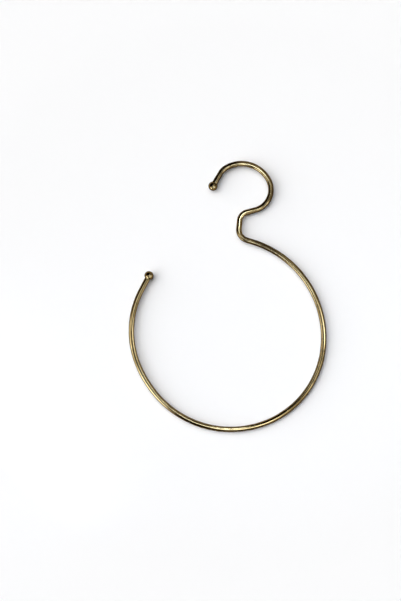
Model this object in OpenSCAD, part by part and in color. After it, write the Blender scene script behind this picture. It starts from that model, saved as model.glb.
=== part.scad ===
// Scarf hanger: one length of round brass wire, bent flat into a hook, a short neck and an open ring,
// with a drilled brass ball fixed on each end.
// The part hangs as it does in use. The origin is where the rail bears, on the underside of the
// hook's crown. +Z is up, +X is to the right and the wire lies in the XZ plane.
// All bend radii are to the centre line of the wire. Millimetres and degrees.

/* [Wire] */
// Diameter of the wire
wire_d = 4.8; // [3.2:0.1:6]
// Chamfer round each cut end of the wire
wire_end_chamfer = 0.4; // [0.1:0.1:0.8]

/* [Hook] */
// Bend radius of the crown that sits on the rail
crown_r = 27; // [22:0.5:32]
// Turn of the crown from its top forward to the nose
crown_front_angle = 33; // [20:0.5:45]
// Turn of the crown from its top back to the closing curve
crown_back_angle = 59; // [45:0.5:70]
// Bend radius of the hook's nose, in front of the crown
nose_r = 12.5; // [9:0.5:20]
// Turn of the nose
nose_angle = 28.5; // [15:0.5:40]
// Straight end of the hook, from the nose to the centre of the ball
hook_tip_len = 13.5; // [8:0.5:18]
// Bend radius of the closing curve under the crown
closing_r = 18.5; // [16:0.5:22]
// Turn of the closing curve, back towards the neck
closing_angle = 104; // [90:0.5:112]
// Straight lead from the closing curve to the neck
lead_len = 8; // [4:0.5:14]

/* [Neck] */
// Bend radius from the lead down into the neck
upper_bend_r = 8; // [6:0.5:12]
// Turn of that bend
upper_bend_angle = 70; // [60:0.5:80]
// Straight length of the neck
neck_len = 7.5; // [2:0.5:20]
// Bend radius from the neck out to the ring
lower_bend_r = 9.5; // [7:0.5:14]
// Turn of that bend
lower_bend_angle = 78; // [68:0.5:88]
// Straight run between that bend and the ring
run_len = 6; // [1:0.5:20]

/* [Ring] */
// Bend radius of the ring's upper right, next to the run
shoulder_r = 88.5; // [70:0.5:110]
// Turn of the shoulder
shoulder_angle = 73; // [60:0.5:90]
// Bend radius of the ring's lower right
lower_right_r = 80; // [65:0.5:100]
// Turn of the lower right
lower_right_angle = 69.5; // [60:0.5:80]
// Bend radius of the ring's bottom and lower left, where the scarf hangs
lower_left_r = 85.5; // [70:0.5:105]
// Turn of the lower left
lower_left_angle = 66.5; // [55:0.5:78]
// Bend radius of the ring's left side, which is the flattest
left_r = 96.5; // [80:0.5:120]
// Turn of the left side
left_angle = 23; // [15:0.5:32]
// Bend radius of the ring's upper left, up to the mouth
upper_left_r = 78; // [65:0.5:95]
// Turn of the upper left
upper_left_angle = 48.5; // [38:0.5:58]
// Straight end of the ring, from the upper left to the centre of the ball
ring_tip_len = 14; // [8:0.5:22]

/* [Balls] */
// Diameter of the ball on each end
ball_d = 8; // [7.5:0.1:11]
// Depth of the ball's blind hole, from the ball's outside to the hole's floor
bore_depth = 5.5; // [3.5:0.1:6]
// Difference in diameter between the hole and the wire, filled when the ball is bonded on
bore_clearance = 0.04; // [0:0.01:0.2]
// Space left between the wire's cut end and the hole's floor
bore_end_gap = 0.2; // [0:0.05:0.5]
// Chamfer round the mouth of the hole
bore_mouth_chamfer = 0.25; // [0.1:0.05:0.4]
// Included angle of the drill point at the hole's floor
drill_point_angle = 118; // [90:1:150]

/* [Hidden] */

brass = [0.80, 0.66, 0.36];

wire_r = wire_d / 2;
ball_r = ball_d / 2;
bore_r = (wire_d + bore_clearance) / 2;

// Facets round the wire and round a full bend, where a mesh is drawn
round_fn = 48;
bend_fn = 180;

// Neighbouring bends stop short of their common point and are joined there by a bead that is
// a hair wider than the wire, so that one clean solid forms whatever the angles are
bead_swell = 0.02;
bead_inset = 0.1;

// A pose is [x, z, heading], with the heading anticlockwise from +X as seen from the front.
// A step is [radius, turn] for a bend, anticlockwise positive, or [0, length] for a straight.
top_right = [0, wire_r, 0];
top_left = [0, wire_r, 180];
hook_side = [
    [crown_r, crown_front_angle],
    [nose_r, nose_angle]
];
ring_side = [
    [crown_r, -crown_back_angle],
    [closing_r, -closing_angle],
    [0, lead_len],
    [upper_bend_r, upper_bend_angle],
    [0, neck_len],
    [lower_bend_r, lower_bend_angle],
    [0, run_len],
    [shoulder_r, -shoulder_angle],
    [lower_right_r, -lower_right_angle],
    [lower_left_r, -lower_left_angle],
    [left_r, -left_angle],
    [upper_left_r, -upper_left_angle]
];

function along(pose, length) = [
    pose[0] + length * cos(pose[2]),
    pose[1] + length * sin(pose[2]),
    pose[2]
];

function round_bend(pose, radius, turn) =
    let (heading = pose[2] + turn, side = sign(turn) * radius)
    [
        pose[0] + side * (sin(heading) - sin(pose[2])),
        pose[1] + side * (cos(pose[2]) - cos(heading)),
        heading
    ];

function step_end(pose, step) =
    step[0] == 0 ? along(pose, step[1]) : round_bend(pose, step[0], step[1]);

function pose_after(start, steps, count) =
    count == 0 ? start : step_end(pose_after(start, steps, count - 1), steps[count - 1]);

hook_end = pose_after(top_left, hook_side, len(hook_side));
ring_end = pose_after(top_right, ring_side, len(ring_side));
hook_ball_centre = along(hook_end, hook_tip_len);
ring_ball_centre = along(ring_end, ring_tip_len);

// How far the wire's cut end lies beyond the ball's centre
wire_reach = bore_depth - ball_r - bore_end_gap;

// Puts what is drawn along +X at a pose
module at(pose) {
    translate([pose[0], 0, pose[1]])
        rotate([0, -pose[2], 0])
            children();
}

module along_x() {
    rotate([0, 90, 0])
        children();
}

module bead() {
    sphere(d = wire_d + 2 * bead_swell, $fn = round_fn);
}

module straight(length) {
    translate([bead_inset, 0, 0])
        along_x()
            cylinder(d = wire_d, h = length - 2 * bead_inset, $fn = round_fn);
}

module bend(radius, turn) {
    side = sign(turn);
    inset_angle = bead_inset / radius * 180 / PI;
    first_angle = (turn > 0 ? -90 : 90 + turn) + inset_angle;
    swept_angle = abs(turn) - 2 * inset_angle;
    translate([0, 0, side * radius])
        rotate([90, 0, 0])
            rotate_extrude(angle = swept_angle, start = first_angle, $fn = bend_fn)
                translate([radius, 0])
                    circle(d = wire_d, $fn = round_fn);
}

// The straight end of the wire, which runs on into the ball and is chamfered where it was cut
module cut_end(length) {
    profile = [
        [0, bead_inset],
        [wire_r, bead_inset],
        [wire_r, length - wire_end_chamfer],
        [wire_r - wire_end_chamfer, length],
        [0, length]
    ];
    along_x()
        rotate_extrude($fn = round_fn)
            polygon(profile);
}

module bent_side(start, steps, tip_len) {
    for (i = [0 : len(steps) - 1]) {
        at(pose_after(start, steps, i)) {
            if (steps[i][0] == 0) {
                straight(steps[i][1]);
            } else {
                bend(steps[i][0], steps[i][1]);
            }
        }
        at(pose_after(start, steps, i + 1))
            bead();
    }
    at(pose_after(start, steps, len(steps)))
        cut_end(tip_len + wire_reach);
}

module bent_wire() {
    color(brass)
        union() {
            at(top_right)
                bead();
            bent_side(top_left, hook_side, hook_tip_len);
            bent_side(top_right, ring_side, ring_tip_len);
        }
}

// The hole is drawn along +X into the ball, from outside the ball to the drill point
module bore() {
    mouth_x = -sqrt(ball_r * ball_r - bore_r * bore_r);
    floor_x = bore_depth - ball_r;
    point_len = bore_r / tan(drill_point_angle / 2);
    profile = [
        [0, -ball_d],
        [bore_r + bore_mouth_chamfer + ball_d + mouth_x, -ball_d],
        [bore_r, mouth_x + bore_mouth_chamfer],
        [bore_r, floor_x],
        [0, floor_x + point_len]
    ];
    along_x()
        rotate_extrude($fn = round_fn)
            polygon(profile);
}

module drilled_ball() {
    difference() {
        sphere(d = ball_d, $fn = bend_fn);
        bore();
    }
}

module hook_ball() {
    color(brass)
        at(hook_ball_centre)
            drilled_ball();
}

module ring_ball() {
    color(brass)
        at(ring_ball_centre)
            drilled_ball();
}

bent_wire();
hook_ball();
ring_ball();
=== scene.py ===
"""Looks of the brass scarf hanger: one bent wire with a ball on each end, on a white surface."""

import math

import bmesh
import bpy
from bpy.props import FloatProperty, FloatVectorProperty, IntProperty, PointerProperty
from mathutils import Matrix, Vector


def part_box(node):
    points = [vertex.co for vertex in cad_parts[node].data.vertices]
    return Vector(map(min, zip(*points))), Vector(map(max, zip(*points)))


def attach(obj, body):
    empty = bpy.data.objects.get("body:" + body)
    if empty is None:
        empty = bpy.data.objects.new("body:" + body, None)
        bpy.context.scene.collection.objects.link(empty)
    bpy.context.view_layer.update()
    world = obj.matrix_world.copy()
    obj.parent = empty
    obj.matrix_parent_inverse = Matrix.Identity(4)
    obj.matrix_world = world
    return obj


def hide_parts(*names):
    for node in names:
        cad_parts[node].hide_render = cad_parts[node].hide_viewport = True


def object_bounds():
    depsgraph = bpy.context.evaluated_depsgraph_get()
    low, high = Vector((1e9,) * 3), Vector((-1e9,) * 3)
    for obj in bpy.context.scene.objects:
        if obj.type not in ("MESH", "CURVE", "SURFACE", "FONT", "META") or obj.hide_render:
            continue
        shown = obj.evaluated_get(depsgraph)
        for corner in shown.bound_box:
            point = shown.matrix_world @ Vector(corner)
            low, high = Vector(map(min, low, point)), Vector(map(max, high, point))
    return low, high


bl_info = {
    "name": "Brass Scarf Hanger",
    "version": (1, 0, 0),
    "blender": (4, 5, 0),
    "location": "3D View > Sidebar > Scarf Hanger",
    "description": "Builds a bent brass scarf hanger round its packed solids",
    "category": "Object",
}

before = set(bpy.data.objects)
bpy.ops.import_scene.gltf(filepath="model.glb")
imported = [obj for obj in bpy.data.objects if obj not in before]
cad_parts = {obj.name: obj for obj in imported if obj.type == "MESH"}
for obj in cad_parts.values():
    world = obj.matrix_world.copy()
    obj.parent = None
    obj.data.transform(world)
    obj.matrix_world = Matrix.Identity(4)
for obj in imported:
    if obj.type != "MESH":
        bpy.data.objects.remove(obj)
CAD_BOX = [list(corner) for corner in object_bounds()]
HOOK_BALL_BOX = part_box("hook_ball")
RING_BALL_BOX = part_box("ring_ball")
HOOK_BALL_CENTRE = (HOOK_BALL_BOX[0] + HOOK_BALL_BOX[1]) / 2
RING_BALL_CENTRE = (RING_BALL_BOX[0] + RING_BALL_BOX[1]) / 2

IMAGE_HEIGHT = 601
SENSOR = 36.0
CLIP_NEAR, CLIP_FAR = 0.05, 50.0


def length(name, description, default, low=0.0001, high=1.0):
    """A length in metres for the sidebar."""
    return FloatProperty(
        name=name,
        description=description,
        default=default,
        min=low,
        max=high,
        precision=5,
        subtype="DISTANCE",
        unit="LENGTH",
    )


def angle(name, description, degrees, low=-360, high=360):
    """An angle for the sidebar, given in degrees."""
    return FloatProperty(
        name=name,
        description=description,
        default=math.radians(degrees),
        min=math.radians(low),
        max=math.radians(high),
        subtype="ANGLE",
        unit="ROTATION",
    )


def colour(name, description, default):
    """A linear colour for the sidebar."""
    return FloatVectorProperty(
        name=name,
        description=description,
        default=default,
        size=3,
        min=0.0,
        max=1.0,
        subtype="COLOR",
    )


def share(name, description, default, high=1.0):
    """A plain number from 0 up, for the sidebar."""
    return FloatProperty(
        name=name,
        description=description,
        default=default,
        min=0.0,
        max=high,
        subtype="FACTOR",
    )


class HangerWireSizes(bpy.types.PropertyGroup):
    """Sizes of the bent wire, as in the part's source."""

    wire_diameter: length("Wire Diameter", "Diameter of the round wire", 0.0048)
    crown_radius: length("Crown Radius", "Bend radius of the hook's crown", 0.027)
    crown_front: angle("Crown Front", "Turn from the crown's top to the nose", 33)
    crown_back: angle("Crown Back", "Turn from the top to the closing curve", 59)
    nose_radius: length("Nose Radius", "Bend radius in front of the crown", 0.0125)
    nose_turn: angle("Nose Turn", "Turn of the hook's nose", 28.5)
    hook_tip: length("Hook Tip", "Straight end of the hook, to the ball", 0.0135)
    closing_radius: length("Closing Radius", "Bend radius under the crown", 0.0185)
    closing_turn: angle("Closing Turn", "Turn of the curve under the crown", 104)
    lead_length: length("Lead Length", "Straight lead to the neck", 0.008)
    upper_radius: length("Upper Radius", "Bend radius above the neck", 0.008)
    upper_turn: angle("Upper Turn", "Turn of the bend above the neck", 70)
    neck_length: length("Neck Length", "Straight length of the neck", 0.0075)
    lower_radius: length("Lower Radius", "Bend radius below the neck", 0.0095)
    lower_turn: angle("Lower Turn", "Turn of the bend below the neck", 78)
    run_length: length("Run Length", "Straight run out to the ring", 0.006)
    shoulder_radius: length("Shoulder Radius", "Bend radius, upper right", 0.0885)
    shoulder_turn: angle("Shoulder Turn", "Turn of the ring's upper right", 73)
    lower_right_radius: length("Lower Right Radius", "Bend radius there", 0.080)
    lower_right_turn: angle("Lower Right Turn", "Turn there", 69.5)
    lower_left_radius: length("Lower Left Radius", "Bend radius there", 0.0855)
    lower_left_turn: angle("Lower Left Turn", "Turn there", 66.5)
    left_radius: length("Left Radius", "Bend radius of the left side", 0.0965)
    left_turn: angle("Left Turn", "Turn of the ring's left side", 23)
    upper_left_radius: length("Upper Left Radius", "Bend radius there", 0.078)
    upper_left_turn: angle("Upper Left Turn", "Turn there", 48.5)
    ring_tip: length("Ring Tip", "Straight end of the ring, to the ball", 0.014)
    wire_reach: length("Wire Reach", "Wire's end past the ball's centre", 0.0013)
    section_step: length("Section Step", "Length between wire sections", 0.0006)
    sides: IntProperty(
        name="Sides", description="Facets round the wire", default=40, min=12, max=96
    )
    hand_waver: length(
        "Hand Waver",
        "How far the drawn surface strays from a true cylinder",
        0.000014,
        low=0.0,
    )


class HangerBallSizes(bpy.types.PropertyGroup):
    """Sizes of the two end balls."""

    ball_diameter: length("Ball Diameter", "Diameter of each ball", 0.008)
    bore_depth: length("Bore Depth", "Depth of the blind hole", 0.0055)
    bore_clearance: length("Bore Clearance", "Hole less wire, in diameter", 0.00004)
    drill_point: angle("Drill Point", "Included angle of the hole's floor", 118)
    fillet_reach: length("Fillet Reach", "How far the solder runs out", 0.00055)
    segments: IntProperty(
        name="Segments", description="Facets round the ball", default=96, min=16, max=192
    )


class HangerFinish(bpy.types.PropertyGroup):
    """Colours and wear of the brass."""

    brass: colour("Brass", "Clean polished brass", (0.96, 0.745, 0.4))
    deep_brass: colour("Deep Brass", "Brass in the drawing lines", (0.58, 0.45, 0.24))
    tarnish: colour("Tarnish", "Brown film on handled brass", (0.17, 0.105, 0.05))
    ball_brass: colour("Ball Brass", "Brass of the balls", (0.97, 0.76, 0.42))
    edge_brass: colour("Edge Brass", "Brass seen at a low angle", (0.03, 0.02, 0.01))
    lacquer: colour("Lacquer", "Aged lacquer, seen straight on", (0.42, 0.365, 0.265))
    line_depth: share("Line Depth", "Strength of the drawing lines", 0.15)
    patch_amount: share("Patch Amount", "How far the film covers", 0.25)
    polish: share("Polish", "Roughness of the polished brass", 0.04)


class HangerStudio(bpy.types.PropertyGroup):
    """Camera, surface and light."""

    millimetres_per_pixel: FloatProperty(
        name="Millimetres per Pixel",
        description="Scale of the picture at the hanger",
        default=0.88,
        min=0.1,
        max=10,
    )
    view_centre: FloatVectorProperty(
        name="View Centre",
        description="Point of the hanger's plane at the middle of the picture",
        default=(-0.0323, 0.0, -0.1194),
        size=3,
        subtype="TRANSLATION",
        unit="LENGTH",
    )
    camera_distance: length("Camera Distance", "From the hanger", 1.1, high=10)
    camera_roll: angle("Camera Roll", "Turn of the picture, clockwise", 2.25)
    surface_colour: colour("Surface", "White surface", (0.96, 0.96, 0.965))
    sky_level: share("Sky Level", "Light of the white room", 0.0, high=4)
    side_light: share("Side Light", "Low light from the left", 4.5, high=20)
    top_light: share("Top Light", "Steeper light from the top", 2.05, high=20)
    tent_level: share("Tent Level", "Light of the studio tent", 0.51, high=4)
    tent_radius: length("Tent Radius", "Radius of the studio tent", 0.25, high=3)


# Shared helpers -----------------------------------------------------------------------------


def link(obj):
    """Puts a new object in the scene."""
    bpy.context.scene.collection.objects.link(obj)
    return obj


def add(tree, kind, inputs=None, **settings):
    """Adds a node. An input may be a value or another node's output, by name or by number."""
    made = tree.nodes.new(kind)
    for key, value in settings.items():
        setattr(made, key, value)
    for key, value in (inputs or {}).items():
        socket = made.inputs[key]
        if isinstance(value, bpy.types.NodeSocket):
            tree.links.new(value, socket)
        else:
            socket.default_value = value
    return made


def maths(tree, operation, *values):
    """The output of a Math node. A value may be a number or another node's output."""
    return add(tree, "ShaderNodeMath", dict(enumerate(values)), operation=operation).outputs[0]


def vectors(tree, operation, *values):
    """The output of a Vector Math node, a number where the operation gives one."""
    made = add(tree, "ShaderNodeVectorMath", dict(enumerate(values)), operation=operation)
    return made.outputs["Value" if operation in ("DOT_PRODUCT", "LENGTH") else "Vector"]


def ramp(tree, value, low, high, out_low=0.0, out_high=1.0):
    """A smooth step, from out_low where the value is low to out_high where it is high."""
    made = add(
        tree,
        "ShaderNodeMapRange",
        {
            "Value": value,
            "From Min": low,
            "From Max": high,
            "To Min": out_low,
            "To Max": out_high,
        },
        interpolation_type="SMOOTHSTEP",
    )
    return made.outputs["Result"]


def mix_colour(tree, factor, first, second):
    """The first colour turned towards the second by factor."""
    made = add(tree, "ShaderNodeMix", data_type="RGBA")
    for key, value in (("Factor", factor), ("A", first), ("B", second)):
        sockets = [s for s in made.inputs if s.name == key and s.enabled]
        if isinstance(value, bpy.types.NodeSocket):
            tree.links.new(value, sockets[0])
        else:
            sockets[0].default_value = value
    return [s for s in made.outputs if s.enabled][0]


def noise(tree, vector, scale, *, detail, roughness, distortion=0.0):
    """Noise from 0 to 1, of scale features to the metre."""
    made = add(
        tree,
        "ShaderNodeTexNoise",
        {
            "Vector": vector,
            "Scale": scale,
            "Detail": detail,
            "Roughness": roughness,
            "Distortion": distortion,
        },
    )
    return made.outputs["Fac"]


def opaque(rgb):
    """A colour with full alpha, as a colour socket takes it."""
    return (*rgb, 1.0)


def new_group(name, kind, inputs, outputs):
    """A node group with named sockets, and its input and output nodes."""
    tree = bpy.data.node_groups.new(name, kind)
    for label, socket_type, default in inputs:
        socket = tree.interface.new_socket(label, in_out="INPUT", socket_type=socket_type)
        if default is not None:
            socket.default_value = default
    for label, socket_type in outputs:
        tree.interface.new_socket(label, in_out="OUTPUT", socket_type=socket_type)
    return tree, tree.nodes.new("NodeGroupInput"), tree.nodes.new("NodeGroupOutput")


# Shader groups ------------------------------------------------------------------------------


# Bands to each fine line, and the noise at which a line or a band begins and is full
BANDS_PER_LINE = 0.22
LINE_FROM, LINE_FULL = 0.3, 0.7
BAND_FROM, BAND_FULL = 0.38, 0.64


def drawing_lines_group():
    """Fine lines that run along the wire, left by the die it was drawn through."""
    tree, given, result = new_group(
        "Drawing Lines",
        "ShaderNodeTree",
        [
            ("Vector", "NodeSocketVector", None),
            ("Lines per Metre", "NodeSocketFloat", 2600.0),
            ("Run", "NodeSocketFloat", 0.02),
        ],
        [("Lines", "NodeSocketFloat"), ("Bands", "NodeSocketFloat")],
    )
    stretch = add(
        tree,
        "ShaderNodeCombineXYZ",
        {"X": given.outputs["Run"], "Y": 1.0, "Z": 1.0},
    )
    along = vectors(tree, "MULTIPLY", given.outputs["Vector"], stretch.outputs[0])
    fine = noise(tree, along, given.outputs["Lines per Metre"], detail=3.0, roughness=0.6)
    coarse_scale = maths(tree, "MULTIPLY", given.outputs["Lines per Metre"], BANDS_PER_LINE)
    coarse = noise(tree, along, coarse_scale, detail=2.0, roughness=0.5)
    tree.links.new(ramp(tree, fine, LINE_FROM, LINE_FULL), result.inputs["Lines"])
    tree.links.new(ramp(tree, coarse, BAND_FROM, BAND_FULL), result.inputs["Bands"])
    return tree


# Grains of the film to each patch and their weight beside it, the noise at which the film's
# edge lies with no cover, how far full cover lowers it, and how far it fades on either side
GRAINS_PER_PATCH = 9.0
GRAIN_SHARE = 0.35
BARE_EDGE = 1.02
EDGE_PER_COVER = 0.5
FADE_BELOW, FADE_ABOVE = 0.28, 0.22


def tarnish_group():
    """A brown film in soft patches, with a mottled edge."""
    tree, given, result = new_group(
        "Tarnish Film",
        "ShaderNodeTree",
        [
            ("Vector", "NodeSocketVector", None),
            ("Patches per Metre", "NodeSocketFloat", 90.0),
            ("Cover", "NodeSocketFloat", 0.5),
        ],
        [("Film", "NodeSocketFloat"), ("Mottle", "NodeSocketFloat")],
    )
    size = given.outputs["Patches per Metre"]
    vector = given.outputs["Vector"]
    patch = noise(tree, vector, size, detail=3.0, roughness=0.55, distortion=0.4)
    grain_size = maths(tree, "MULTIPLY", size, GRAINS_PER_PATCH)
    grain = noise(tree, vector, grain_size, detail=3.0, roughness=0.6)
    mixed = maths(tree, "MULTIPLY_ADD", grain, GRAIN_SHARE, patch)
    lowered = maths(tree, "MULTIPLY", given.outputs["Cover"], EDGE_PER_COVER)
    edge = maths(tree, "SUBTRACT", BARE_EDGE, lowered)
    starts = maths(tree, "SUBTRACT", edge, FADE_BELOW)
    film = ramp(tree, mixed, starts, maths(tree, "ADD", edge, FADE_ABOVE))
    tree.links.new(film, result.inputs["Film"])
    tree.links.new(grain, result.inputs["Mottle"])
    return tree


# Share of a pit's radius that is its flat floor, and the random number of a cell at which its
# pit begins to show and shows fully
PIT_FLOOR = 0.45
PIT_FROM, PIT_FULL = 0.45, 0.6


def pits_group():
    """Small pits and nicks where the brass has been knocked or has corroded."""
    tree, given, result = new_group(
        "Pits and Nicks",
        "ShaderNodeTree",
        [
            ("Vector", "NodeSocketVector", None),
            ("Pits per Metre", "NodeSocketFloat", 900.0),
            ("Size", "NodeSocketFloat", 0.32),
        ],
        [("Pits", "NodeSocketFloat")],
    )
    cells = add(
        tree,
        "ShaderNodeTexVoronoi",
        {
            "Vector": given.outputs["Vector"],
            "Scale": given.outputs["Pits per Metre"],
            "Randomness": 1.0,
        },
        feature="F1",
    )
    size = given.outputs["Size"]
    inner = maths(tree, "MULTIPLY", size, PIT_FLOOR)
    dent = ramp(tree, cells.outputs["Distance"], inner, size, 1.0, 0.0)
    chance = add(tree, "ShaderNodeSeparateColor", {"Color": cells.outputs["Color"]})
    kept = ramp(tree, chance.outputs[0], PIT_FROM, PIT_FULL)
    tree.links.new(maths(tree, "MULTIPLY", dent, kept), result.inputs["Pits"])
    return tree


def group_node(tree, name, inputs):
    """A node that places one of the shader groups above."""
    return add(tree, "ShaderNodeGroup", inputs, node_tree=bpy.data.node_groups[name])


def near(tree, position, middle, half_width, fade):
    """1 within half_width of middle along the wire, fading to 0."""
    away = maths(tree, "ABSOLUTE", maths(tree, "SUBTRACT", position, middle))
    return ramp(tree, away, half_width, half_width + fade, 1.0, 0.0)


def principled(name):
    """A new node material, its tree and its shader."""
    material = bpy.data.materials.new(name)
    material.use_nodes = True
    return material, material.node_tree, material.node_tree.nodes["Principled BSDF"]


def lacquered_metal(tree, shader, finish, body, rough, height, relief):
    """Sets the shader as metal under thin aged lacquer, which is darker where it is looked
    through at a low angle. Relief is the bump's strength and its depth in metres."""
    strength, depth = relief
    bump = add(
        tree, "ShaderNodeBump", {"Strength": strength, "Distance": depth, "Height": height}
    )
    tree.links.new(body, shader.inputs["Base Color"])
    tree.links.new(rough, shader.inputs["Roughness"])
    tree.links.new(bump.outputs["Normal"], shader.inputs["Normal"])
    for socket, value in (
        ("Metallic", 1.0),
        ("Specular Tint", opaque(finish.edge_brass)),
        ("Coat Weight", 1.0),
        ("Coat IOR", 1.02),
        ("Coat Roughness", 0.05),
        ("Coat Tint", opaque(finish.lacquer)),
    ):
        shader.inputs[socket].default_value = value


# Both metals: pits are this share of the film's colour, and the film adds this roughness
PIT_SHADE = 0.35
FILM_ROUGHNESS = 0.12

# Where along the wire, from the hook's ball, the film and pits are thickest: middle, half
# width and fade, in metres, and weight
HANDLED_STRETCHES = (
    (0.018, 0.012, 0.008, 1.0),
    (0.084, 0.014, 0.012, 0.7),
    (0.147, 0.013, 0.010, 1.1),
    (0.290, 0.030, 0.030, 0.35),
    (0.420, 0.020, 0.030, 0.45),
)
# Cover of the film that full handling adds, and that a patch amount of 1 gives
HANDLED_COVER = 0.55
PATCH_COVER = 0.6
# Strength of the pits that full handling adds, and that they have anyway
HANDLED_PITS, OTHER_PITS = 0.95, 0.08
# Shares of the marks in the wire's colour, in its roughness and in its height, and its relief
BAND_COLOUR, LINE_COLOUR, FILM_COLOUR = 0.35, 0.25, 0.85
LINE_ROUGHNESS, PIT_ROUGHNESS = 0.05, 0.25
PIT_DEPTH, MOTTLE_HEIGHT = 2.2, 0.35
WIRE_RELIEF = (0.35, 0.00003)


def wire_material(finish):
    """Polished brass wire with drawing lines, a patchy brown film, pits and nicks."""
    material, tree, shader = principled("aged_brass_wire")
    straight = add(
        tree, "ShaderNodeAttribute", attribute_name="straightened", attribute_type="GEOMETRY"
    )
    vector = straight.outputs["Vector"]
    along = add(tree, "ShaderNodeSeparateXYZ", {"Vector": vector}).outputs["X"]
    handled = 0.0
    for middle, half_width, fade, weight in HANDLED_STRETCHES:
        stretch = near(tree, along, middle, half_width, fade)
        handled = maths(tree, "MAXIMUM", maths(tree, "MULTIPLY", stretch, weight), handled)
    lines = group_node(tree, "Drawing Lines", {"Vector": vector})
    patches = finish.patch_amount * PATCH_COVER
    cover = maths(tree, "MULTIPLY_ADD", handled, HANDLED_COVER, patches)
    film = group_node(
        tree, "Tarnish Film", {"Vector": vector, "Patches per Metre": 210.0, "Cover": cover}
    )
    pits = group_node(tree, "Pits and Nicks", {"Vector": vector, "Size": 0.34})
    pits_kept = maths(tree, "MULTIPLY_ADD", handled, HANDLED_PITS, OTHER_PITS)
    pitted = maths(tree, "MULTIPLY", pits.outputs["Pits"], pits_kept)
    banded = maths(tree, "MULTIPLY", lines.outputs["Bands"], BAND_COLOUR)
    body = mix_colour(tree, banded, opaque(finish.brass), opaque(finish.deep_brass))
    fine = maths(tree, "MULTIPLY", lines.outputs["Lines"], LINE_COLOUR)
    body = mix_colour(tree, fine, body, opaque(finish.deep_brass))
    filmed = maths(tree, "MULTIPLY", film.outputs["Film"], FILM_COLOUR)
    body = mix_colour(tree, filmed, body, opaque(finish.tarnish))
    body = mix_colour(tree, pitted, body, opaque([c * PIT_SHADE for c in finish.tarnish]))
    rough = maths(tree, "MULTIPLY_ADD", film.outputs["Film"], FILM_ROUGHNESS, finish.polish)
    rough = maths(tree, "MULTIPLY_ADD", lines.outputs["Lines"], LINE_ROUGHNESS, rough)
    rough = maths(tree, "MULTIPLY_ADD", pitted, PIT_ROUGHNESS, rough)
    height = maths(tree, "MULTIPLY", lines.outputs["Lines"], finish.line_depth)
    height = maths(tree, "SUBTRACT", height, maths(tree, "MULTIPLY", pitted, PIT_DEPTH))
    height = maths(tree, "MULTIPLY_ADD", film.outputs["Mottle"], MOTTLE_HEIGHT, height)
    lacquered_metal(tree, shader, finish, body, rough, height, WIRE_RELIEF)
    return material


# On the balls: cover of the film, strength of the pits, share of the film in the colour,
# roughness beside the wire's, roughness and depth of the pits, and relief
BALL_COVER = 0.55
BALL_PITS = 0.5
BALL_FILM_COLOUR = 0.6
BALL_POLISH = 0.8
BALL_PIT_ROUGHNESS = 0.2
BALL_PIT_DEPTH = 2.0
BALL_RELIEF = (0.3, 0.00002)


def ball_material(finish, name, centre):
    """Polished brass ball with a little film, mottle and nicks."""
    material, tree, shader = principled(name)
    place = add(tree, "ShaderNodeTexCoord").outputs["Object"]
    centred = add(
        tree, "ShaderNodeMapping", {"Vector": place, "Location": [-c for c in centre]}
    ).outputs["Vector"]
    film = group_node(
        tree,
        "Tarnish Film",
        {"Vector": centred, "Patches per Metre": 230.0, "Cover": BALL_COVER},
    )
    pits = group_node(
        tree, "Pits and Nicks", {"Vector": centred, "Pits per Metre": 700.0, "Size": 0.24}
    )
    pitted = maths(tree, "MULTIPLY", pits.outputs["Pits"], BALL_PITS)
    filmed = maths(tree, "MULTIPLY", film.outputs["Film"], BALL_FILM_COLOUR)
    body = mix_colour(tree, filmed, opaque(finish.ball_brass), opaque(finish.tarnish))
    body = mix_colour(tree, pitted, body, opaque([c * PIT_SHADE for c in finish.tarnish]))
    polish = finish.polish * BALL_POLISH
    rough = maths(tree, "MULTIPLY_ADD", film.outputs["Film"], FILM_ROUGHNESS, polish)
    rough = maths(tree, "MULTIPLY_ADD", pitted, BALL_PIT_ROUGHNESS, rough)
    height = maths(tree, "MULTIPLY_ADD", pitted, -BALL_PIT_DEPTH, film.outputs["Mottle"])
    lacquered_metal(tree, shader, finish, body, rough, height, BALL_RELIEF)
    return material


# The wire's line ----------------------------------------------------------------------------


def walk(start, steps, spacing):
    """Points of a line in the XZ plane. A step is (radius, turn), anticlockwise positive, or
    (0, length) for a straight. A pose is (x, z, heading)."""
    x, z, heading = start
    points = [start]
    for radius, amount in steps:
        reach = abs(amount) if radius == 0 else radius * abs(amount)
        count = max(2, math.ceil(reach / spacing))
        side = math.copysign(radius, amount)
        for i in range(1, count + 1):
            part = amount * i / count
            if radius == 0:
                points.append(
                    (x + part * math.cos(heading), z + part * math.sin(heading), heading)
                )
            else:
                turned = heading + part
                points.append(
                    (
                        x + side * (math.sin(turned) - math.sin(heading)),
                        z + side * (math.cos(heading) - math.cos(turned)),
                        turned,
                    )
                )
        x, z, heading = points[-1]
    return points


def wire_line(sizes):
    """Centre line of the wire from the hook's ball to the ring's ball."""
    top = sizes.wire_diameter / 2
    step = sizes.section_step
    reach = sizes.wire_reach
    front = walk(
        (0.0, top, math.pi),
        [
            (sizes.crown_radius, sizes.crown_front),
            (sizes.nose_radius, sizes.nose_turn),
            (0, sizes.hook_tip + reach),
        ],
        step,
    )
    back = walk(
        (0.0, top, 0.0),
        [
            (sizes.crown_radius, -sizes.crown_back),
            (sizes.closing_radius, -sizes.closing_turn),
            (0, sizes.lead_length),
            (sizes.upper_radius, sizes.upper_turn),
            (0, sizes.neck_length),
            (sizes.lower_radius, sizes.lower_turn),
            (0, sizes.run_length),
            (sizes.shoulder_radius, -sizes.shoulder_turn),
            (sizes.lower_right_radius, -sizes.lower_right_turn),
            (sizes.lower_left_radius, -sizes.lower_left_turn),
            (sizes.left_radius, -sizes.left_turn),
            (sizes.upper_left_radius, -sizes.upper_left_turn),
            (0, sizes.ring_tip + reach),
        ],
        step,
    )
    return [Vector((x, 0.0, z)) for x, z, _ in front[:0:-1] + back]


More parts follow.
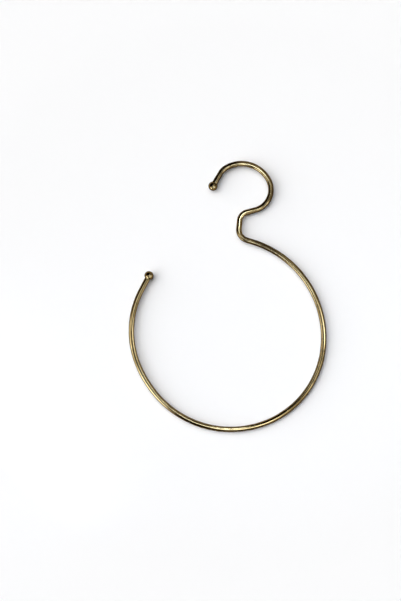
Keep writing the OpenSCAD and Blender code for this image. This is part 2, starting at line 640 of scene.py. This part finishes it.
# The drawn surface's waver: slow waves and quick ripples to the metre, the ripples' share, the
# sum's middle value, and the gain that brings its usual swing to the size asked for
WAVES_PER_METRE = 110.0
RIPPLES_PER_METRE = 420.0
RIPPLE_SHARE = 0.3
WAVER_MIDDLE = 0.65
WAVER_GAIN = 4.0


def named_attribute(tree, name, kind):
    """Reads one of the attributes that the wire's tree stores."""
    read = add(tree, "GeometryNodeInputNamedAttribute", {"Name": name}, data_type=kind)
    return read.outputs["Attribute"]


def store_attribute(tree, name, kind, geometry, value):
    """Stores a value on the geometry's points under a name."""
    return add(
        tree,
        "GeometryNodeStoreNamedAttribute",
        {"Name": name, "Geometry": geometry, "Value": value},
        data_type=kind,
    ).outputs["Geometry"]


def wire_tree(material):
    """Geometry nodes that draw a round section along the line and wear it a little."""
    tree, given, result = new_group(
        "Bent Wire",
        "GeometryNodeTree",
        [
            ("Line", "NodeSocketGeometry", None),
            ("Wire Diameter", "NodeSocketFloat", 0.0048),
            ("Sides", "NodeSocketInt", 40),
            ("Hand Waver", "NodeSocketFloat", 0.0),
        ],
        [("Wire", "NodeSocketGeometry")],
    )
    radius = maths(tree, "MULTIPLY", given.outputs["Wire Diameter"], 0.5)
    run = add(tree, "GeometryNodeSplineParameter").outputs["Length"]
    line = store_attribute(tree, "run", "FLOAT", given.outputs["Line"], run)
    circle = add(
        tree,
        "GeometryNodeCurvePrimitiveCircle",
        {"Resolution": given.outputs["Sides"], "Radius": radius},
        mode="RADIUS",
    )
    place = add(tree, "GeometryNodeInputPosition").outputs[0]
    section = store_attribute(
        tree, "section", "FLOAT_VECTOR", circle.outputs["Curve"], place
    )
    drawn = add(
        tree,
        "GeometryNodeCurveToMesh",
        {"Curve": line, "Profile Curve": section, "Fill Caps": True},
    )
    across = add(
        tree,
        "ShaderNodeSeparateXYZ",
        {"Vector": named_attribute(tree, "section", "FLOAT_VECTOR")},
    )
    straight = add(
        tree,
        "ShaderNodeCombineXYZ",
        {
            "X": named_attribute(tree, "run", "FLOAT"),
            "Y": across.outputs["X"],
            "Z": across.outputs["Y"],
        },
    )
    kept = store_attribute(
        tree, "straightened", "FLOAT_VECTOR", drawn.outputs["Mesh"], straight.outputs[0]
    )
    straightened = named_attribute(tree, "straightened", "FLOAT_VECTOR")
    wander = noise(tree, straightened, WAVES_PER_METRE, detail=1.5, roughness=0.5)
    ripple = noise(tree, straightened, RIPPLES_PER_METRE, detail=1.0, roughness=0.5)
    both = maths(tree, "MULTIPLY_ADD", ripple, RIPPLE_SHARE, wander)
    signed = maths(tree, "SUBTRACT", both, WAVER_MIDDLE)
    size = maths(tree, "MULTIPLY", given.outputs["Hand Waver"], WAVER_GAIN)
    far = maths(tree, "MULTIPLY", signed, size)
    normal = add(tree, "GeometryNodeInputNormal")
    offset = add(
        tree, "ShaderNodeVectorMath", {0: normal.outputs[0], "Scale": far}, operation="SCALE"
    )
    worn = add(
        tree,
        "GeometryNodeSetPosition",
        {"Geometry": kept, "Offset": offset.outputs["Vector"]},
    )
    smooth = add(tree, "GeometryNodeSetShadeSmooth", {"Geometry": worn.outputs["Geometry"]})
    real = add(tree, "GeometryNodeRealizeInstances", {"Geometry": smooth.outputs[0]})
    painted = add(
        tree,
        "GeometryNodeSetMaterial",
        {"Geometry": real.outputs["Geometry"], "Material": material},
    )
    tree.links.new(painted.outputs["Geometry"], result.inputs["Wire"])
    return tree


def set_inputs(modifier, values):
    """Sets a nodes modifier's inputs by the names its tree gives them."""
    names = {
        item.name: item.identifier
        for item in modifier.node_group.interface.items_tree
        if item.item_type == "SOCKET" and item.in_out == "INPUT"
    }
    for name, value in values.items():
        modifier[names[name]] = value


def plain_mesh(obj, name):
    """A new object with obj's evaluated mesh and no modifier, in obj's place."""
    depsgraph = bpy.context.evaluated_depsgraph_get()
    mesh = bpy.data.meshes.new_from_object(
        obj.evaluated_get(depsgraph), preserve_all_data_layers=True, depsgraph=depsgraph
    )
    mesh.name = name
    bpy.data.objects.remove(obj)
    return link(bpy.data.objects.new(name, mesh))


# Points nearer than this, in metres, are one
SAME_POINT = 1e-7


def face_out(mesh):
    """Joins doubles and turns a closed mesh's faces outwards."""
    work = bmesh.new()
    work.from_mesh(mesh)
    bmesh.ops.remove_doubles(work, verts=work.verts, dist=SAME_POINT)
    bmesh.ops.recalc_face_normals(work, faces=work.faces)
    work.to_mesh(mesh)
    work.free()


class HANGER_OT_bent_wire(bpy.types.Operator):
    """Draws the wire along its bends, with its drawing lines, film and pits"""

    bl_idname = "hanger.bent_wire"
    bl_label = "Bent Wire"

    def execute(self, context):
        sizes = context.scene.hanger_wire
        material = wire_material(context.scene.hanger_finish)
        line = wire_line(sizes)
        curve = bpy.data.curves.new("wire_line", "CURVE")
        curve.dimensions = "3D"
        curve.twist_mode = "MINIMUM"
        spline = curve.splines.new("POLY")
        spline.points.add(len(line) - 1)
        for point, place in zip(spline.points, line):
            point.co = (*place, 1.0)
        path = link(bpy.data.objects.new("wire_line", curve))
        modifier = path.modifiers.new("Bent Wire", "NODES")
        modifier.node_group = wire_tree(material)
        set_inputs(
            modifier,
            {
                "Wire Diameter": sizes.wire_diameter,
                "Sides": sizes.sides,
                "Hand Waver": sizes.hand_waver,
            },
        )
        wire = plain_mesh(path, "polished_wire")
        face_out(wire.data)
        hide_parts("bent_wire")
        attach(wire, "root")
        return {"FINISHED"}


FILLET_STEPS = 7
BALL_STEPS = 40
# Shares of the fillet's reach: how far out along the wire it begins, and the middle point of
# its curve, back from its foot on the ball and out from the wire
FILLET_START = 0.95
FILLET_CORNER_BACK, FILLET_CORNER_OUT = 0.1, 0.12


def ball_profile(sizes, wire_diameter):
    """Half section of a drilled ball, as (distance along the bore, radius), from the drill
    point out of the hole, over the solder fillet and the ball to its far pole."""
    ball = sizes.ball_diameter / 2
    bore = (wire_diameter + sizes.bore_clearance) / 2
    floor = sizes.bore_depth - ball
    point = floor + bore / math.tan(sizes.drill_point / 2)
    reach = sizes.fillet_reach
    foot_angle = math.asin((bore + reach) / ball)
    foot = Vector((-ball * math.cos(foot_angle), bore + reach))
    lip = Vector((foot.x - reach * FILLET_START, bore))
    corner = Vector(
        (foot.x - reach * FILLET_CORNER_BACK, bore + reach * FILLET_CORNER_OUT)
    )
    profile = [(point, 0.0), (floor, bore), ((lip.x + floor) / 2, bore)]
    for i in range(FILLET_STEPS + 1):
        t = i / FILLET_STEPS
        spot = lip * (1 - t) ** 2 + corner * 2 * t * (1 - t) + foot * t**2
        profile.append((spot.x, spot.y))
    for i in range(1, BALL_STEPS + 1):
        around = foot_angle + (math.pi - foot_angle) * i / BALL_STEPS
        profile.append((-ball * math.cos(around), max(0.0, ball * math.sin(around))))
    profile[-1] = (ball, 0.0)
    return profile


def turned(name, profile, segments):
    """A closed solid of revolution about +X."""
    mesh = bpy.data.meshes.new(name)
    work = bmesh.new()
    rows = []
    for x, radius in profile:
        around = [2 * math.pi * k / segments for k in range(segments if radius else 1)]
        rows.append(
            [
                work.verts.new((x, radius * math.cos(part), radius * math.sin(part)))
                for part in around
            ]
        )
    for one, two in zip(rows, rows[1:]):
        for k in range(segments):
            n = (k + 1) % segments
            if len(one) == 1:
                work.faces.new((one[0], two[k], two[n]))
            elif len(two) == 1:
                work.faces.new((one[n], one[k], two[0]))
            else:
                work.faces.new((one[k], two[k], two[n], one[n]))
    bmesh.ops.recalc_face_normals(work, faces=work.faces)
    for face in work.faces:
        face.smooth = True
    work.to_mesh(mesh)
    work.free()
    return mesh


class HANGER_OT_end_balls(bpy.types.Operator):
    """Makes the drilled ball on each end of the wire, with its fillet of solder"""

    bl_idname = "hanger.end_balls"
    bl_label = "End Balls"

    def execute(self, context):
        wire = context.scene.hanger_wire
        sizes = context.scene.hanger_balls
        finish = context.scene.hanger_finish
        line = wire_line(wire)
        ends = (
            ("hook_end_ball", "hook_ball", line[0] - line[1], HOOK_BALL_CENTRE),
            ("ring_end_ball", "ring_ball", line[-1] - line[-2], RING_BALL_CENTRE),
        )
        profile = ball_profile(sizes, wire.wire_diameter)
        for name, node, outward, centre in ends:
            mesh = turned(name, profile, sizes.segments)
            turn = outward.to_track_quat("X", "Y").to_matrix().to_4x4()
            mesh.transform(Matrix.Translation(centre) @ turn)
            ball = link(bpy.data.objects.new(name, mesh))
            mesh.materials.append(ball_material(finish, "aged_brass_" + node, centre))
            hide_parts(node)
            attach(ball, "root")
        return {"FINISHED"}


# Stage --------------------------------------------------------------------------------------


def direction(azimuth, polar):
    """A unit vector. Polar is the angle from the camera's side of the hanger, and azimuth
    turns anticlockwise from +X as the camera sees it. Degrees."""
    a, p = math.radians(azimuth), math.radians(polar)
    return Vector((math.sin(p) * math.cos(a), -math.cos(p), math.sin(p) * math.sin(a)))


# Room between the hanger and the surface that it lies on, and half the surface's side
SURFACE_CLEARANCE = 0.00005
SURFACE_HALF = 2.0


def surface_plane(line, wire_radius, ball_radius):
    """Offset and slopes (in x and z) of the flat surface that both balls and the far side of
    the ring lie on, behind the hanger. Line is the wire's centre line."""
    one, two = HOOK_BALL_CENTRE, RING_BALL_CENTRE
    between = Vector((two.x - one.x, two.z - one.z)).normalized()
    across = Vector((-between.y, between.x))
    if across.x < 0:
        across = -across
    gap_ball = ball_radius + SURFACE_CLEARANCE
    gap_wire = wire_radius + SURFACE_CLEARANCE
    far = max(Vector((p.x - one.x, p.z - one.z)) @ across for p in line)
    slope = (gap_wire - gap_ball) / far
    slope_x, slope_z = slope * across.x, slope * across.y
    return gap_ball - slope_x * one.x - slope_z * one.z, slope_x, slope_z


def surface_material(studio):
    """White sheet. From behind it is clear, so that the hanger's back can be seen."""
    material, tree, shader = principled("white_surface")
    shader.inputs["Base Color"].default_value = opaque(studio.surface_colour)
    shader.inputs["Roughness"].default_value = 0.6
    shader.inputs["Specular IOR Level"].default_value = 0.2
    behind = add(tree, "ShaderNodeNewGeometry").outputs["Backfacing"]
    clear = add(tree, "ShaderNodeBsdfTransparent")
    both = add(
        tree, "ShaderNodeMixShader", {0: behind, 1: shader.outputs[0], 2: clear.outputs[0]}
    )
    out = tree.nodes["Material Output"]
    tree.links.new(both.outputs[0], out.inputs["Surface"])
    return material


# Soft square panels of the studio tent: azimuth and polar angle of the middle, half width and
# softness of the edge, in degrees, and level
TENT_PANELS = (
    (219, 76, 17.5, 15.8, 2.3),
    (338, 56, 16.6, 14.9, 1.88),
    (193, 72, 11, 9.9, 3.3),
    (228, 74, 13.2, 11.9, 2.42),
    (190, 42, 13.1, 11.8, 1.4),
    (54, 60, 15, 10, 0.85),
    (81, 62, 11, 8, 1.1),
    (308, 58, 16.1, 14.5, 1.35),
    (7, 55, 16.1, 14.5, 0.98),
    (287, 44, 12.4, 11.2, 1.57),
    (281, 37, 10, 9, 2.29),
    (356, 44, 9.2, 8.3, 2.64),
    (36, 46, 12.8, 11.5, 0.85),
    (268, 19, 5, 4.5, 2.9),
    (87, 18, 5.2, 4.7, 4.64),
    (84, 23, 6, 5.4, 3.09),
    (186, 19, 7, 5.6, 3.1),
    (267, 16, 4.4, 4, 3.7),
    (354, 21, 6.3, 5.7, 2.6),
    (10, 17, 5, 4.4, 3.1),
)
# Level between the panels
TENT_BASE = 0.012
# The level is raised to this power, times the warmth in red, green and blue. Above 1 a panel
# fades more steeply, and its dim edge is warmer than its middle
TENT_CONTRAST = 1.65
TENT_WARMTH = (1.0, 1.1, 1.26)
# Each panel stays on its own side of the tent: the cosine over which it fades in there
PANEL_SIDE = 0.1


def tent_material(studio, centre):
    """Light of the studio tent, with its soft panels."""
    material = bpy.data.materials.new("studio_tent")
    material.use_nodes = True
    tree = material.node_tree
    tree.nodes.clear()
    place = add(tree, "ShaderNodeTexCoord").outputs["Object"]
    out = vectors(tree, "NORMALIZE", vectors(tree, "SUBTRACT", place, tuple(centre)))
    total = TENT_BASE
    for azimuth, polar, half, soft, level in TENT_PANELS:
        middle = direction(azimuth, polar)
        up = direction(azimuth, polar + 90)
        side = middle.cross(up)
        toward = vectors(tree, "DOT_PRODUCT", out, tuple(middle))
        panel = ramp(tree, toward, 0.0, PANEL_SIDE)
        inner = math.sin(math.radians(max(half - soft / 2, 0)))
        outer = math.sin(math.radians(half + soft / 2))
        for axis in (side, up):
            off = maths(tree, "ABSOLUTE", vectors(tree, "DOT_PRODUCT", out, tuple(axis)))
            panel = maths(tree, "MULTIPLY", panel, ramp(tree, off, inner, outer, 1.0, 0.0))
        total = maths(tree, "MULTIPLY_ADD", panel, level, total)
    channels = [maths(tree, "POWER", total, TENT_CONTRAST * each) for each in TENT_WARMTH]
    tint = add(tree, "ShaderNodeCombineColor", dict(enumerate(channels)))
    light = add(
        tree, "ShaderNodeEmission", {"Color": tint.outputs[0], "Strength": studio.tent_level}
    )
    output = add(tree, "ShaderNodeOutputMaterial")
    tree.links.new(light.outputs[0], output.inputs["Surface"])
    return material


def white_world(studio):
    """A white room: white to the camera, in gloss and through glass. To everything else it
    gives the light that the sky level sets."""
    world = bpy.data.worlds.new("white_room")
    world.use_nodes = True
    tree = world.node_tree
    background = tree.nodes["Background"]
    rays = add(tree, "ShaderNodeLightPath")
    seen = rays.outputs["Is Camera Ray"]
    for other in ("Is Glossy Ray", "Is Transmission Ray"):
        seen = maths(tree, "MAXIMUM", seen, rays.outputs[other])
    level = ramp(tree, seen, 0.0, 1.0, studio.sky_level, 1.0)
    tree.links.new(level, background.inputs["Strength"])
    background.inputs["Color"].default_value = opaque((1.0, 1.0, 1.0))
    bpy.context.scene.world = world


def place_camera(studio):
    """The camera looks straight at the hanger's plane, rolled as the picture is."""
    data = bpy.data.cameras.new("camera")
    data.sensor_width = SENSOR
    tall = IMAGE_HEIGHT * studio.millimetres_per_pixel / 1000
    data.lens = SENSOR * studio.camera_distance / tall
    data.clip_start = CLIP_NEAR
    data.clip_end = CLIP_FAR
    camera = link(bpy.data.objects.new("camera", data))
    roll = studio.camera_roll
    right = Vector((math.cos(roll), 0.0, math.sin(roll)))
    up = Vector((-math.sin(roll), 0.0, math.cos(roll)))
    back = Vector((0.0, -1.0, 0.0))
    turn = Matrix((right, up, back)).transposed().to_4x4()
    place = Vector(studio.view_centre) + back * studio.camera_distance
    camera.matrix_world = Matrix.Translation(place) @ turn
    bpy.context.scene.camera = camera


def lay_surface(scene):
    """The white surface that the hanger lies on."""
    start, slope_x, slope_z = surface_plane(
        wire_line(scene.hanger_wire),
        scene.hanger_wire.wire_diameter / 2,
        scene.hanger_balls.ball_diameter / 2,
    )
    half = SURFACE_HALF
    corners = [(-half, -half), (half, -half), (half, half), (-half, half)]
    mesh = bpy.data.meshes.new("white_surface")
    mesh.from_pydata(
        [(x, start + slope_x * x + slope_z * z, z) for x, z in corners], [], [(0, 1, 2, 3)]
    )
    mesh.materials.append(surface_material(scene.hanger_studio))
    link(bpy.data.objects.new("white_surface", mesh))


# The tent ends this far behind the middle of the hanger, in front of the surface
TENT_BACK = 0.002


def pitch_tent(studio):
    """The studio tent, a dome on the camera's side that only gloss sees."""
    centre = (Vector(CAD_BOX[0]) + Vector(CAD_BOX[1])) / 2
    work = bmesh.new()
    bmesh.ops.create_uvsphere(work, u_segments=64, v_segments=32, radius=studio.tent_radius)
    bmesh.ops.translate(work, verts=work.verts, vec=centre)
    behind = [v for v in work.verts if v.co.y > centre.y + TENT_BACK]
    bmesh.ops.delete(work, geom=behind, context="VERTS")
    mesh = bpy.data.meshes.new("studio_tent")
    work.to_mesh(mesh)
    work.free()
    mesh.materials.append(tent_material(studio, centre))
    tent = link(bpy.data.objects.new("studio_tent", mesh))
    tent.visible_camera = False
    tent.visible_diffuse = False
    tent.visible_shadow = False


# Soft suns: name, azimuth, polar angle and width in degrees
SUNS = (
    ("side_light", 183, 77, 84),
    ("top_light", 120, 28, 58),
)


def hang_suns(studio):
    """The suns that light the surface and cast the shadow. Gloss doesn't see them."""
    for name, azimuth, polar, width in SUNS:
        sun = bpy.data.lights.new(name, "SUN")
        sun.energy = getattr(studio, name)
        sun.angle = math.radians(width)
        light = link(bpy.data.objects.new(name, sun))
        light.rotation_mode = "QUATERNION"
        light.rotation_quaternion = direction(azimuth, polar).to_track_quat("Z", "Y")
        light.visible_glossy = False


class HANGER_OT_stage(bpy.types.Operator):
    """Sets up the camera, the white surface, the tent and the light"""

    bl_idname = "hanger.stage"
    bl_label = "Stage"

    def execute(self, context):
        scene = context.scene
        scene.view_settings.view_transform = "Standard"
        place_camera(scene.hanger_studio)
        white_world(scene.hanger_studio)
        lay_surface(scene)
        pitch_tent(scene.hanger_studio)
        hang_suns(scene.hanger_studio)
        return {"FINISHED"}


class HANGER_PT_panel(bpy.types.Panel):
    """Sizes, finish and studio of the scarf hanger"""

    bl_idname = "HANGER_PT_panel"
    bl_label = "Scarf Hanger"
    bl_space_type = "VIEW_3D"
    bl_region_type = "UI"
    bl_category = "Scarf Hanger"

    def draw(self, context):
        scene = context.scene
        for title, group, operator in (
            ("Wire", scene.hanger_wire, "hanger.bent_wire"),
            ("Balls", scene.hanger_balls, "hanger.end_balls"),
            ("Finish", scene.hanger_finish, None),
            ("Studio", scene.hanger_studio, "hanger.stage"),
        ):
            box = self.layout.box()
            box.label(text=title)
            for key in group.bl_rna.properties.keys():
                if key not in ("rna_type", "name"):
                    box.prop(group, key)
            if operator:
                box.operator(operator)


GROUPS = {
    "hanger_wire": HangerWireSizes,
    "hanger_balls": HangerBallSizes,
    "hanger_finish": HangerFinish,
    "hanger_studio": HangerStudio,
}
CLASSES = (
    *GROUPS.values(),
    HANGER_OT_bent_wire,
    HANGER_OT_end_balls,
    HANGER_OT_stage,
    HANGER_PT_panel,
)


def register():
    for cls in CLASSES:
        bpy.utils.register_class(cls)
    for name, group in GROUPS.items():
        setattr(bpy.types.Scene, name, PointerProperty(type=group))


def unregister():
    for name in GROUPS:
        delattr(bpy.types.Scene, name)
    for cls in reversed(CLASSES):
        bpy.utils.unregister_class(cls)


def main():
    register()
    drawing_lines_group()
    tarnish_group()
    pits_group()
    bpy.ops.hanger.bent_wire()
    bpy.ops.hanger.end_balls()
    bpy.ops.hanger.stage()


if __name__ == "__main__":
    main()
